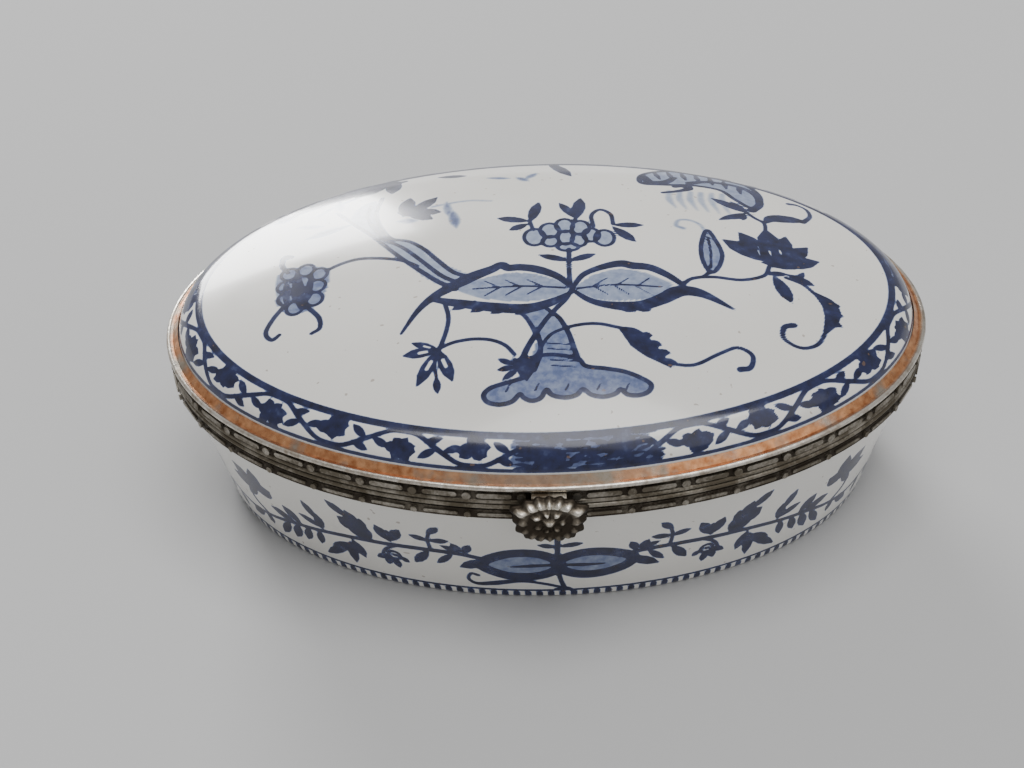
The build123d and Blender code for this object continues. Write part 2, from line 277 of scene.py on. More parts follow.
def nearest(places, line):
    """How far each place is from a line, and how far along it (0 to 1) its nearest point is."""
    spans = np.diff(line, axis=0)
    offsets = places[:, None] - line[None, :-1]
    lengths = np.maximum((spans**2).sum(-1), 1e-9)
    shares = np.clip((offsets * spans).sum(-1) / lengths, 0, 1)
    gaps = np.linalg.norm(offsets - shares[..., None] * spans, axis=-1)
    best = gaps.argmin(1)
    rows = np.arange(len(places))
    return gaps[rows, best], (best + shares[rows, best]) / len(spans)


class Painting:
    """Cobalt on a surface: the strengths of line and of wash at each of its places, from 0 to 1."""

    def __init__(self, places):
        self.places = np.array(places, float)
        self.line = np.zeros(len(self.places))
        self.wash = np.zeros(len(self.places))

    def near(self, line, reach):
        """The places in the box round a line."""
        low = line.min(0) - reach
        high = line.max(0) + reach
        return np.flatnonzero(((self.places > low) & (self.places < high)).all(1))

    def cover(self, points, widths, closed):
        """The places that a brush drawn along points wets, and how fully."""
        line = smooth_line(points, closed)
        near = self.near(line, max(widths) / 2 + SOFT_EDGE)
        gaps, along = nearest(self.places[near], line)
        halves = np.interp(along, np.linspace(0, 1, len(widths)), widths) / 2
        return near, np.clip((halves - gaps) / SOFT_EDGE + 0.5, 0, 1)

    def brush(self, points, *widths, ink=1.0, closed=False):
        """A stroke through points, whose width changes evenly along it."""
        near, wet = self.cover(points, widths, closed)
        if ink < LINE_INK:
            self.wash[near] = np.maximum(self.wash[near], wet * ink)
        else:
            self.line[near] = np.maximum(self.line[near], wet)

    def lift(self, points, *widths):
        """A stroke that takes ink away."""
        near, wet = self.cover(points, widths, False)
        self.line[near] = np.minimum(self.line[near], 1 - wet)

    def fill(self, points, ink=PALE, outline=0.0, edge_ink=0.95):
        """A filled shape, with an outline of some width round it."""
        line = smooth_line(points, closed=True)
        near = self.near(line, 0.0)
        x, y = self.places[near].T
        inside = np.zeros(len(near), bool)
        for start, end in zip(line, np.roll(line, -1, axis=0)):
            if start[1] != end[1]:
                cross = (end[0] - start[0]) * (y - start[1]) / (end[1] - start[1]) + start[0]
                inside ^= ((start[1] > y) != (end[1] > y)) & (x < cross)
        wet = near[inside]
        self.wash[wet] = np.maximum(self.wash[wet], ink)
        if outline:
            self.brush(points, outline, ink=edge_ink, closed=True)

    def petal(self, root, tip, width, ink=0.95):
        """A pointed oval from its root to its tip."""
        self.brush([root, tip], 0.15, width * 0.75, width, width * 0.85, 0.15, ink=ink)

    def petals(self, *shapes, ink=0.95):
        """Several petals, each a root, a tip and a width."""
        for root, tip, width in shapes:
            self.petal(root, tip, width, ink)

    def scale(self, x, y, across, up, ink=0.85):
        """A rounded flower scale: a pale oval with a dark edge."""
        turns = [2 * math.pi * index / 8 for index in range(8)]
        self.fill([(x + across * math.cos(t), y + up * math.sin(t)) for t in turns], PALE, 0.5, ink)


# --- The lid's painting ----------------------------------------------------------------------------
def paint_ground(lid):
    """The mound with its scalloped foot, and the trunk."""
    lid.fill(
        [
            (4.3, -21.2), (5.4, -22.5), (8, -22.9), (10.5, -23.4), (12.5, -24.3), (14, -25.4),
            (13.6, -26.6), (12.2, -27.2), (10.8, -27.1), (9.9, -26.3), (9.2, -27), (7.6, -27.5),
            (6, -27.2), (4.9, -26.3), (4, -27.2), (2.5, -27.6), (0.8, -27.2), (0, -26.3),
            (-0.8, -27.6), (-2, -28), (-3, -27.5), (-3.6, -26.9), (-4.6, -28), (-6.3, -28.4),
            (-7.9, -27.9), (-8.4, -26.8), (-7.6, -25.8), (-6, -25.2), (-4, -24.6), (-2.5, -23.8),
            (-2, -21), (1, -20.4),
        ],
        0.52,
        0.65,
    )
    lid.fill([(0.3, -11.5), (2, -13.5), (3.2, -16.5), (3.8, -19), (4.4, -21.4), (-1.6, -22), (-1, -17),
              (-1.6, -15.5), (-2.4, -13.5), (-3.2, -12)], 0.5)
    lid.brush([(0.3, -11.5), (2, -13.5), (3.2, -16.5), (3.8, -19), (4.4, -21.4)], 0.6, 0.75)
    lid.brush([(-3.4, -12), (-2.4, -13.5), (-1.6, -15.5), (-1, -17.4)], 0.6)
    lid.brush([(3.8, -7.5), (3, -9.5), (1.6, -11.5), (0, -14), (-1.6, -17.2), (-2.8, -20), (-3.4, -23)],
              0.6, 0.8)
    lid.brush([(-1.9, -14.6), (-0.9, -17), (-0.7, -20), (-1.6, -23)], 0.55, 0.75)
    for index in range(5):
        height = -18.3 - 1.0 * index
        lid.brush([(0.2 + 0.15 * index, height), (3.3 + 0.2 * index, height - 0.3)], 0.28, 0.2, ink=0.75)
    for x in (-5.4, -1.5, 2.6, 6.8, 10.6):
        lid.brush([(x, -26.4), (x + 0.5, -25.3)], 0.3, 0.2, ink=0.7)


def paint_fan(lid):
    """The dark fan at the foot of the trunk, its arch and the four-leaved sprig that hangs from it."""
    lid.petals(
        ((-4.2, -22), (-6.4, -20.9), 0.9),
        ((-4, -22.3), (-6.5, -22.8), 0.9),
        ((-3.8, -22.8), (-5.8, -24.4), 0.9),
        ((-3, -19.8), (-2.6, -24.8), 2.3),
        ((-4.4, -20.8), (-2.6, -23.6), 1.8),
    )
    lid.brush([(-14.2, -18.2), (-12.5, -17.4), (-10, -17), (-7.5, -17.3), (-5.5, -18.4), (-4.2, -20.2)],
              0.5)
    lid.brush([(-13.8, -9.7), (-13.3, -12.5), (-13.6, -15.3), (-14.4, -18.4)], 0.55)
    for tip, width in (((-19.4, -19.2), 1.7), ((-17.4, -24.6), 1.8), ((-12.6, -24.2), 1.8),
                       ((-18.2, -17), 1.2)):
        root = Vector((-14.6, -18.6))
        lid.petal(root, tip, width, 0.85)
        middle = root.lerp(Vector(tip), 0.55)
        lid.lift([root.lerp(middle, 0.6), middle], width * 0.35)
    lid.petal((-14.8, -23.4), (-14.6, -26), 1.0, 0.85)
    lid.brush([(-14.6, -18.6), (-15, -21), (-14.8, -23.4)], 0.35)


def paint_leaves(lid):
    """The pair of long leaves that spread from the trunk's top."""
    lid.fill([(3.8, -6.9), (0, -4.2), (-4, -3.2), (-8.5, -4.2), (-12.5, -6.3), (-8, -9), (-3, -9.8),
              (1, -9.2)], 0.4)
    upper = [(3.8, -6.7), (1.8, -4.2), (-1, -2.5), (-3.4, -1.9), (-5, -2), (-6, -1.2), (-7.4, -2.2),
             (-10, -3.7),
             (-13.2, -6), (-15.6, -8), (-17.6, -10.6), (-19.8, -15)]
    lid.brush(upper, 0.8, 1.6, 1.5, 1.4, 2.1, 1.2, 0.3)
    lower = [(3.8, -8), (1, -10.1), (-2.4, -11.3), (-6.6, -10.9), (-12, -9.6), (-15.6, -8.4)]
    lid.brush(lower, 0.6, 1.5, 1.9, 1.9, 1.6, 0.9)
    for x, y in ((-11.2, -9.9), (-8.6, -10.6), (-5.8, -11.1), (-2.4, -11.5)):
        lid.petal((x + 1.6, y + 0.6), (x - 1.6, y - 1.0), 1.3)
    lid.brush([(3, -7), (-3, -6.4), (-10, -6.6)], 0.4, 0.35, 0.25)
    for x in (-7.5, -4.5, -1.5):
        lid.brush([(x + 1.1, -6.4), (x - 0.9, -4.9)], 0.3, 0.2, ink=0.8)
        lid.brush([(x + 1.1, -6.7), (x - 0.9, -8.3)], 0.3, 0.2, ink=0.8)

    lid.fill([(4.2, -7.3), (7, -4.2), (11, -2.7), (15.5, -4.2), (18, -6.6), (14.5, -9.4), (9, -10),
              (6, -9)], 0.4)
    upper = [(4, -7), (5.6, -4), (8.4, -2.2), (11, -1.4), (12.6, -1.9), (15, -2.3), (17.4, -4),
             (19.5, -6.2)]
    lid.brush(upper, 0.6, 1.0, 1.5, 1.6, 1.3, 0.8)
    lower = [(4, -7.6), (6.6, -10), (10, -11), (13.4, -10.9), (16.4, -9.4), (19, -7.6), (22, -8),
             (26.3, -11)]
    lid.brush(lower, 0.6, 1.1, 1.8, 2.0, 2.4, 1.8, 0.3)
    lid.petals(((9.5, -10.6), (12.4, -12.2), 1.3), ((12, -10.8), (14.6, -12), 1.3))
    lid.brush([(4.6, -7.2), (10, -6.4), (16.5, -6.8)], 0.4, 0.25)
    for x in (8, 11, 14):
        lid.brush([(x - 1, -6.6), (x + 0.9, -4.8)], 0.3, 0.2, ink=0.8)
        lid.brush([(x - 1, -6.8), (x + 0.9, -8.6)], 0.3, 0.2, ink=0.8)
    lid.petals(((3.7, -0.6), (-0.6, 1), 1.3), ((3.7, -0.6), (7.4, 1), 1.3), ink=0.85)
    lid.brush([(3.7, -6.5), (3.6, -3), (3.7, 2.4)], 0.6)


def paint_tendril(lid):
    """The long tendril to the right of the trunk, with its dark serrated leaf and curled end."""
    lid.brush([(-2.5, -24), (-1, -20), (0.5, -17), (2.5, -15.6), (5, -14.8), (7.5, -14.7),
               (10.4, -15.5)], 0.5)
    lid.brush([(10.2, -15.4), (12, -16.8), (13.8, -19.2), (16.9, -22.4)], 0.4, 2.2, 3.0, 2.2, 0.3)
    lid.petals(((13, -16.6), (14.6, -16.9), 1.0), ((13.8, -18), (15.8, -18.6), 1.1),
               ((14.8, -19.8), (16.9, -20), 1.1),
               ((15.6, -21.2), (17.6, -21.6), 0.9))
    lid.brush([(16.4, -21.8), (20, -21.9), (23.6, -19.7), (26.2, -18.4), (28.1, -19.6), (27.7, -21.7),
               (26.2, -22.2)],
              0.45, 0.45, 0.8)


def paint_flower(lid):
    """The scaled flower head in the middle, with its three sprigs."""
    for x, y, across, up in (
        (-1.2, 5.7, 1.5, 2.2), (1, 7.4, 1.4, 2), (3.2, 8.7, 1.3, 1.9), (5.5, 8, 1.3, 2),
        (8.9, 5.2, 1.4, 2.1),
        (7, 6, 1.2, 1.8), (1.1, 4.5, 1.2, 1.4), (3.3, 5.4, 1.1, 1.9), (5.2, 4.7, 1.1, 1.7),
        (3.6, 2.9, 1.5, 1),
    ):
        lid.scale(x, y, across, up)
    lid.brush([(7.4, 8.4), (7.2, 11.6), (8.5, 13.4), (10, 12), (10.3, 9)], 0.55, ink=0.8)
    lid.petals(
        ((-2, 10.2), (-6.6, 11.4), 1.6), ((-2.2, 9.4), (-4.8, 7.8), 1.4), ((-1.8, 10), (-0.5, 16), 1.7),
        ((4.9, 10.8), (2.6, 15.6), 1.4), ((5.1, 10.8), (5.7, 17.2), 1.9), ((10.3, 8.8), (14.6, 8.8), 1.4),
        ((10.2, 8.2), (13.3, 4.2), 1.6),
        ink=0.75,
    )
    lid.brush([(-1.4, 7.6), (-1.9, 10.4)], 0.5, ink=0.75)
    lid.brush([(4.6, 9.6), (5, 11.4)], 0.5, ink=0.75)


def paint_lotus(lid):
    """The dark lotus on the right, the stems round it and the small leaves above and below."""
    lid.petals(
        ((32.6, 0.4), (26, 5.6), 3), ((32.6, 0.2), (28.6, 8), 3), ((33, -0.4), (32.6, 9.6), 3.4),
        ((33.6, 0), (35.4, 7.9), 2.8), ((33.8, 0), (38.3, 5.4), 2.8), ((33.4, -0.2), (39.6, 1.9), 2.8),
        ((31.2, 0.2), (37.4, 0.4), 2.6),
        ink=1.0,
    )
    for x in (31.1, 32.7, 34.2):
        lid.lift([(x, 2), (x - 0.1, 4.4)], 0.15, 0.5, 0.15)
    lid.brush([(19.6, -6), (21, -4.6), (24, -4.1), (27.9, -4.4), (31.2, -3), (32.2, -0.6)], 0.55)
    lid.petals(((31.4, -2.4), (34.6, -2.2), 1.1), ((34.6, -2.2), (38.2, -4.2), 1.4),
               ((32.6, -2.8), (34.6, -8.6), 2.0), ((36, -3.2), (37, -1.4), 0.9))
    lid.brush([(34.3, -3), (36.6, -4.2), (38.2, -6.2)], 0.5)
    lid.brush([(38, -5.8), (39.9, -8.2), (40, -11), (38.6, -14.2)], 0.4, 2.0, 2.4, 1.8, 0.4)
    lid.petals(((39.4, -7.6), (41.4, -8.2), 1), ((39.8, -9.4), (41.6, -10.2), 1),
               ((39.6, -11.4), (41.2, -12.4), 1))
    lid.brush([(38.8, -13.8), (37.4, -16.4), (35, -17.4), (32.8, -16), (33, -13.8), (34.4, -13.2)], 0.5,
              0.45, 0.9)
    lid.fill([(23.6, -3), (22.7, 0), (22.8, 4), (23.9, 8), (25, 5), (25.6, 1.5), (24.8, -1.8)], 0.45, 0.6)
    lid.brush([(23.8, -2), (24, 2), (23.9, 6)], 0.4)
    lid.brush([(21.2, -4.6), (22.6, -4), (23.7, -2.6)], 0.5)
    lid.brush([(23.7, 7.4), (23, 9.5), (21.6, 10.7), (20, 10.6), (19.5, 9), (20.5, 8.2)], 0.35, 0.3,
              0.6, ink=0.6)
    lid.brush([(32.6, 8.8), (32.6, 11.4), (31.4, 12.8), (30.2, 14.6)], 0.5, ink=0.85)
    lid.brush([(32.8, 11.6), (34, 13.2), (36.6, 13.6), (38.7, 13.5)], 0.5, 1.8, 2.4, 2.0, 0.8)
    lid.brush([(38.6, 13.2), (39.9, 15.5), (39.7, 18), (38.4, 19.4), (37.2, 19.5)], 0.9, 0.5, 0.4, 0.8,
              ink=0.8)


def paint_head(lid):
    """The big pale flower head at the back right, over its dark calyx."""
    lid.fill([(15.2, 23.6), (15.4, 27.4), (18.6, 30), (23.6, 30.4), (28.6, 28.4), (32, 24.6), (33, 20),
              (31.6, 16),
              (29, 19), (27, 22.4), (23, 23.6), (18.6, 23.2)], 0.42, 0.7, 0.85)
    lid.brush([(31.2, 15.4), (32.6, 18), (32.2, 22), (29.6, 25), (25.4, 25.8), (22.6, 24.6)], 1.4, 1.1,
              0.9, 1.4)
    lid.brush([(15.6, 27), (16.6, 24), (18.8, 24.4), (20.4, 26.8)], 1.1, 1.9, 0.9)
    for index in range(7):
        x = 17.4 + 2.1 * index
        height = 29.6 - 0.09 * (x - 20) ** 2 * 0.5
        lid.brush([(x, height), (x + 0.7 - 0.1 * index, height - 3.6)], 0.35, 0.9, 0.3, ink=0.9)
    lid.petals(((30.5, 14.3), (25.4, 18.8), 1.7), ((30.2, 14.2), (26, 11.4), 1.3),
               ((29.9, 14), (28, 11.9), 1.2),
               ((29.9, 14), (29.5, 11.8), 1), ((30.5, 14.4), (28.2, 18), 1.1))
    lid.brush([(18.2, 19.9), (20.4, 20.7), (22.2, 22), (21.4, 23.2), (20.2, 22.6)], 0.6, 0.9, 1.8, 0.9)
    for index in range(6):
        x = 18.6 + 1.6 * index
        lid.brush([(x + 0.6, 20.6), (x + 0.4, 17.5), (x + 1.2, 14.6 - 0.3 * index)], 0.9, 1.2, 0.4, ink=0.3)


def paint_branch(lid):
    """The pale branch that climbs to the back left, with its sprigs and leaves."""
    lid.fill([(-9.6, -4.4), (-12.8, -6.2), (-16.6, -3.6), (-20.4, 1.8), (-23.6, 6.4), (-26.6, 11.2),
              (-28.6, 14.4), (-27.4, 19),
              (-25, 20.6), (-24.6, 14), (-22.6, 8), (-18.6, 5.6), (-15.4, 0.8)], 0.34)
    lid.brush([(-12.4, -6.4), (-15, -4.4), (-18.2, -0.8), (-21, 2.8), (-23.4, 6.4), (-25.6, 9.8),
               (-28.2, 13.6), (-30.8, 18)],
              0.9, 0.6, 0.4, ink=0.85)
    lid.brush([(-11.4, -5.4), (-14.4, -3.2), (-17.4, 0.8), (-20.2, 4.6), (-23.2, 7.6), (-24.8, 11),
               (-26, 15), (-25.8, 19)],
              0.8, 0.6, 0.5, ink=0.85)
    lid.brush([(-9.6, -4), (-12.6, -2.6), (-15.2, 0.8), (-17, 3.6), (-19.4, 6.2), (-22.2, 7.6),
               (-24, 11.6), (-24.8, 16),
               (-24.2, 21.6)], 0.8, 0.6, 0.5, ink=0.85)
    lid.petals(((-20.6, 14), (-19.9, 20.4), 2.4), ((-19.6, 14.6), (-15.8, 19.8), 2.1),
               ((-20, 14.8), (-16.2, 12.4), 2),
               ((-19, 15.4), (-15, 14.4), 1.9), ((-21.6, 15.6), (-17.6, 14.6), 2.4), ink=1.0)
    lid.brush([(-16.4, 16.4), (-14.6, 17), (-11, 17.7), (-7.6, 17.2)], 0.5, 0.3, ink=0.5)
    lid.petals(((-14.3, 17.8), (-13.8, 13), 1.2), ((-13.4, 14.8), (-12.6, 9.2), 1.6),
               ((-21.4, 12.6), (-18.4, 12.2), 1.4),
               ((-28.6, 13), (-34.9, 10.5), 1.7), ((-32.6, 13.8), (-36.4, 14.8), 1.1),
               ((-36.8, 20), (-40.4, 17.8), 1.9),
               ((-30.4, 18.4), (-30.8, 22.6), 1), ((-8.4, 26.8), (-4.8, 26), 1.0),
               ((-3.8, 26.4), (-2, 24.4), 1.2),
               ((-2.4, 25.4), (-0.8, 28.2), 1.2), ink=0.55)
    lid.petals(((-23.4, 31), (-28.4, 23.2), 4.2), ((-22.6, 29.4), (-22.8, 23.2), 2.4),
               ((-26, 30), (-30.6, 25.6), 2.4),
               ((1.2, 34), (4.5, 26.4), 1.9), ((-16, 29), (-11.6, 28.6), 1.4))
    lid.brush([(-33.6, 18), (-31, 21), (-27, 24)], 0.5, ink=0.6)
    lid.brush([(-39.5, 18.4), (-34, 22.4), (-29, 25.4), (-25, 27.4), (-21, 28.6)], 0.3, 1.8, 3.2, 2.8, 0.6)


def paint_butterfly(lid):
    """The scaled flower on the left that looks like a butterfly, with its curled feelers."""
    for x, y in ((-36.6, 1.2), (-34.2, 1.6), (-32.2, 0.2), (-36.9, -1.8), (-34.5, -1.3), (-32.3, -2.6),
                 (-36.6, -4.6),
                 (-34.3, -4.4), (-32.5, -5.6), (-35.2, -7)):
        lid.scale(x, y, 1.2, 1.45, 0.95)
    lid.fill([(-38, 2), (-31.2, 1.4), (-31.4, -6), (-34.6, -8.4), (-37.8, -5.6)], 0.5)
    lid.petals(((-35.6, 2), (-34.4, -7.6), 1.7), ((-37, 0), (-36.4, -6.6), 1.1),
               ((-33.2, 1), (-33.6, -6.4), 1.1))
    lid.brush([(-36.8, 1.6), (-37.9, 3.8), (-37.7, 6), (-36.8, 5.8)], 0.6, 0.8, ink=0.85)
    lid.brush([(-36.6, -6), (-38.2, -8.8), (-39, -11.4), (-38, -13), (-37, -12.2)], 0.7, 0.5, ink=0.9)
    lid.brush([(-33.4, -7.2), (-31.6, -9.8), (-31.3, -12), (-32.4, -12.9)], 0.7, 0.5, ink=0.9)
    lid.brush([(-31.2, 0.8), (-29, 2.1), (-26.4, 2.8), (-23, 2.3), (-20, 1.2), (-18, -0.4)], 0.6, ink=0.85)


# --- The bands -------------------------------------------------------------------------------------
def arc_length(inset):
    """Distances along an oval from its front or its back, and the angles from there that they belong to."""
    turns = np.linspace(0, math.pi, 721)
    half_length, half_width, _ = oval(inset, 0)
    steps = np.hypot(half_length * np.diff(np.sin(turns)), half_width * np.diff(np.cos(turns)))
    return np.concatenate([[0], np.cumsum(steps)]), turns


def paint_blossom(band, along, across, way, chance):
    """A ragged dark blossom on the vine."""
    for turn in (-165, -120, -75, -30, 15, 60, 110):
        angle = math.radians(turn + chance.uniform(-14, 14))
        reach = chance.uniform(1.8, 2.5)
        tip = (along + 1.1 * reach * math.cos(angle), across + 0.8 * way * reach * math.sin(angle))
        band.petal((along, across), tip, chance.uniform(1.3, 1.8))


def paint_panel(band, middle, half, chance):
    """A hatched dark panel, as long as twice its half, with ragged ends."""
    corners = [(-1, 1.9), (-1.05, 4), (-0.97, 6), (0, 6.2), (0.97, 6), (1.05, 4), (1, 1.9), (0, 1.8)]
    band.fill([(middle + share * half, across) for share, across in corners], 0.66)
    for row in range(8):
        across = 1.95 + 0.57 * row
        start = middle - half
        while start < middle + half:
            length = chance.uniform(1.6, 4.2)
            lean = chance.uniform(-0.25, 0.25)
            band.brush([(start, across), (start + length, across + lean)], 0.25, 0.5, 0.25)
            start += length + chance.uniform(0.3, 1.2)


def paint_band(band, circumference):
    """The lid's border: a waving vine between two lines, with blossoms and hatched panels."""
    chance = np.random.default_rng(7)
    pitch = circumference / BLOSSOMS
    for index in range(-BLOSSOMS // 2, BLOSSOMS // 2):
        here = pitch * index
        way = 1 if index % 2 else -1
        crest = (here, BAND_MIDDLE - VINE_SWING * way)
        ahead = (here + pitch, BAND_MIDDLE + VINE_SWING * way)
        middle = (here + pitch / 2, BAND_MIDDLE)
        early = (here + pitch * 0.2, crest[1] + 0.2 * way)
        late = (here + pitch * 0.8, ahead[1] - 0.2 * way)
        band.brush([crest, early, middle, late, ahead], 0.45, 0.6, 0.45)
        paint_blossom(band, here, BAND_MIDDLE + 0.6 * way, way, chance)
        for share in (0.32, 0.6):
            root = (here + pitch * share, crest[1] + 3.4 * way * share)
            band.petal(root, (root[0] + 2.2, root[1] - 0.8 * way), 1.0)
        band.petal(middle, (middle[0] - 2.3, middle[1] + 1.4 * way), 1.0)
    quarter = circumference / 4
    for middle, half in ((4.4, 8.6), (quarter + 11, 9), (-quarter - 11, 9), (2 * quarter, 8),
                         (-2 * quarter, 8)):
        paint_panel(band, middle, half, chance)


def paint_dish_leaves(dish):
    """The pair of long leaves in the middle of the dish's front, with their stem and tendril."""
    dish.fill([(1, 9), (-2, 10.9), (-6, 10.7), (-9.4, 8.6), (-9.2, 7), (-6, 5.4), (-2, 5.4), (0.9, 7)],
              0.48, 1.8, 1.0)
    dish.fill([(1.2, 9.2), (4.4, 10.8), (8, 10.6), (11.4, 8.9), (10.6, 6.9), (7.4, 5.6), (4, 5.6),
               (1.3, 7.2)], 0.48,
              1.8, 1.0)
    dish.brush([(0.6, 8.1), (-2.6, 7.9), (-5.6, 7.6)], 0.5, 0.8, 0.3)
    dish.brush([(1.4, 8.1), (4.4, 7.9), (7.6, 7.8)], 0.5, 0.8, 0.3)
    dish.petals(((10.6, 8.9), (15.4, 6.3), 1.8), ((-8.6, 8.9), (-12.8, 6.8), 1.9),
                ((0.9, 12.5), (-1.6, 13), 1),
                ((1.2, 12.6), (4.4, 13.2), 1))
    dish.brush([(1, 14.6), (1, 9), (1.3, 5), (2, 2.2)], 0.7, 0.55, 0.6)
    dish.brush([(0.8, 1.9), (2.2, 2.2), (3, 1.7)], 0.6)
    dish.brush([(1.9, 2.3), (-1, 3.4), (-4.4, 4.1), (-8.4, 3.3), (-10.8, 3), (-11.9, 4), (-11.4, 5.4),
                (-10.4, 5.1)],
               0.5, 0.5, 1.0, 0.5, 0.4, 0.5)


def paint_sprig(dish, x, y, way):
    """A three-leaved sprig that stands on the long stem."""
    dish.brush([(x, y), (x + 0.1 * way, y + 2.6), (x - 0.3 * way, y + 4.2)], 0.5, 0.4)
    dish.petals(((x, y + 4), (x - 1.7 * way, y + 5.8), 1.2), ((x, y + 2.4), (x + 2.6 * way, y + 3.1), 1.1),
                ((x, y + 2.4), (x - 2.8 * way, y + 2.8), 1.1))


def paint_daisy(dish, x, y, way):
    """A small ringed daisy that hangs from the long stem."""
    turns = [2 * math.pi * index / 8 for index in range(8)]
    dish.brush([(x + 0.9 * math.cos(t), y + 0.9 * math.sin(t)) for t in turns], 0.45, ink=0.75, closed=True)
    dish.brush([(x, y), (x + 0.1, y)], 0.6)
    dish.brush([(x + way, y + 2.6), (x - way, y + 1.2), (x - 2 * way, y - 0.8)], 0.45)
    dish.petals(((x - way, y - 0.2), (x - 2.8 * way, y - 1.4), 1.1),
                ((x - 0.8 * way, y - 0.6), (x - 1.4 * way, y - 2.6), 1.2),
                ((x, y - 0.8), (x + 0.2 * way, y - 3), 1.2), ((x + 0.9 * way, y - 0.2),
                                                              (x + 2 * way, y - 1.2), 1))


def paint_peony(dish, x, y, way):
    """A dark, upright peony that leans away from the middle."""
    for root, tip, width in (
        ((0, 0), (0.9, 3.4), 2.3), ((0, 0.2), (2.8, 2.6), 2.4), ((1, 1.6), (4, 4), 2.8),
        ((1.4, 2.6), (2.4, 6), 2.2),
        ((2.4, 4.4), (5, 7.2), 1.5), ((0.8, 1.4), (0.4, 4.8), 1.6),
    ):
        dish.petal((x + way * root[0], y + root[1]), (x + way * tip[0], y + tip[1]), width, 1.0)


def paint_side(dish, way):
    """One side of the dish's band, from the long leaves outwards."""
    stem = [(9.6, 9.3), (13, 10.1), (18, 10.2), (24, 9.8), (29, 9.3), (34, 8.4), (39, 7.4), (44, 6),
            (49, 5.4),
            (55, 7), (61, 9.4), (68, 10)]
    dish.brush([(way * x, y) for x, y in stem], 0.8, 0.8, 0.7, 0.6, 0.5, 0.5)
    for root, tip, width in (
        ((12, 10.2), (11, 12.4), 1.3), ((12.6, 10.4), (13.4, 12.4), 1.3), ((12.4, 10.6), (15, 11.6), 1.0),
        ((13.6, 9.8), (16, 7.2), 1.1), ((17, 9.8), (19.4, 6.6), 1.5), ((22.6, 10.8), (24, 14), 1.8),
        ((22.4, 10.8), (20.6, 14), 1.7), ((22.5, 10.6), (22.4, 13.2), 1.8), ((28.6, 8.8), (27.4, 5), 1.8),
        ((29.2, 8), (29.4, 3), 1.6), ((29.4, 7), (34.2, 3.1), 1.5), ((29, 7.6), (32.6, 5.6), 1.3),
        ((33.4, 9), (33.4, 12.4), 1.6), ((33.6, 11), (35.2, 14.6), 1.4), ((33.2, 9.4), (36.8, 10.8), 1.3),
        ((34, 8.2), (34.8, 5), 1.3), ((36, 7.8), (37.4, 4.6), 1.4), ((38, 7.4), (39.8, 3.8), 1.6),
        ((40, 6.8), (42.6, 3.2), 1.4), ((37.4, 8), (39.8, 10.8), 2.0), ((38.6, 7.8), (42.8, 8.8), 1.7),
        ((44, 10.8), (41.6, 12.8), 2.4), ((44, 11), (44.4, 15.8), 2.4), ((44.4, 11), (48.4, 14.8), 2.8),
        ((44.8, 11), (49.4, 12.2), 2.0), ((44.8, 11.4), (47.2, 9), 1.5), ((46, 5.8), (49, 3.8), 1.8),
        ((45, 6), (44.6, 3.8), 1.3), ((52, 6), (51.6, 3), 1.4), ((54, 6.8), (56, 3.6), 1.6),
        ((56, 7.6), (55, 11.4), 1.7), ((57.6, 8), (58.6, 12.4), 1.8), ((59, 8.6), (61.6, 5.4), 1.7),
        ((62, 9.6), (62.4, 14.6), 2.2), ((62, 10), (65.6, 13.2), 2.2), ((62, 10), (59.6, 13.6), 1.8),
    ):
        dish.petal((way * root[0], root[1]), (way * tip[0], tip[1]), width)
    dish.brush([(way * 47, 9.4), (way * 46.4, 7.6), (way * 44.6, 6)], 0.5)
    paint_sprig(dish, way * 16.6, 10.1, way)
    paint_daisy(dish, way * 22.4, 7.4, -way)
    paint_peony(dish, way * 25.6, 9.8, way)


def paint_foot(dish, half_circumference):
    """The line near the foot and the ticks under it."""
    count = round(2 * half_circumference / FOOT_TICK)
    ends = [-half_circumference, half_circumference]
    dish.brush([(end, 1.75) for end in ends], 0.3, ink=0.9)
    for index in range(count):
        middle = half_circumference * ((2 * index + 1) / count - 1)
        dish.brush([(middle, 0.5), (middle, 1.1)], 0.85)


# --- The porcelain ---------------------------------------------------------------------------------
def along_oval(angles, inset, period):
    """How far round an oval each angle lies from the nearest of the middles, which a period parts."""
    lengths, turns = arc_length(inset)
    from_middle = (angles + math.pi / 2 + period / 2) % period - period / 2
    return np.sign(from_middle) * np.interp(np.abs(from_middle), turns, lengths)


def oval_lean(angles):
    """What turns a point of any oval ring into a point of the circle with the ring's half length."""
    return np.column_stack([np.zeros(len(angles)), (HALF_LENGTH - HALF_WIDTH) * np.sin(angles)])


def paint_lid(shell):
    """The painting on the lid's outer skin, whose points are all of the shell's so far."""
    points = np.array(shell.points)
    angles = np.array(shell.angles)
    lid = Painting(points[:, :2])
    paint_ground(lid)
    paint_fan(lid)
    paint_leaves(lid)
    paint_tendril(lid)
    paint_flower(lid)
    paint_lotus(lid)
    paint_head(lid)
    paint_branch(lid)
    paint_butterfly(lid)

    along = along_oval(angles, BAND_MIDDLE_INSET, 2 * math.pi)
    lengths = np.linalg.norm(points[:, :2] + oval_lean(angles), axis=1)
    leans = (lengths - HALF_LENGTH + SHOULDER_INSET) / SHOULDER_RADIUS
    across = SHOULDER_RADIUS * np.arccos(np.clip(leans, -1, 1))
    band = Painting(np.column_stack([along, across]))
    half = arc_length(BAND_MIDDLE_INSET)[0][-1]
    paint_band(band, 2 * half)
    band.line[across < BAND_OUTER_LINE] = 0
    band.brush([(-half, BAND_INNER_LINE), (half, BAND_INNER_LINE)], 0.95)
    band.brush([(-half, BAND_OUTER_LINE), (half, BAND_OUTER_LINE)], 0.4)
    in_band = across < BAND_INNER_LINE
    return {
        "line": np.where(in_band, band.line, np.maximum(lid.line, band.line)),
        "wash": np.where(in_band, band.wash, lid.wash),
    }


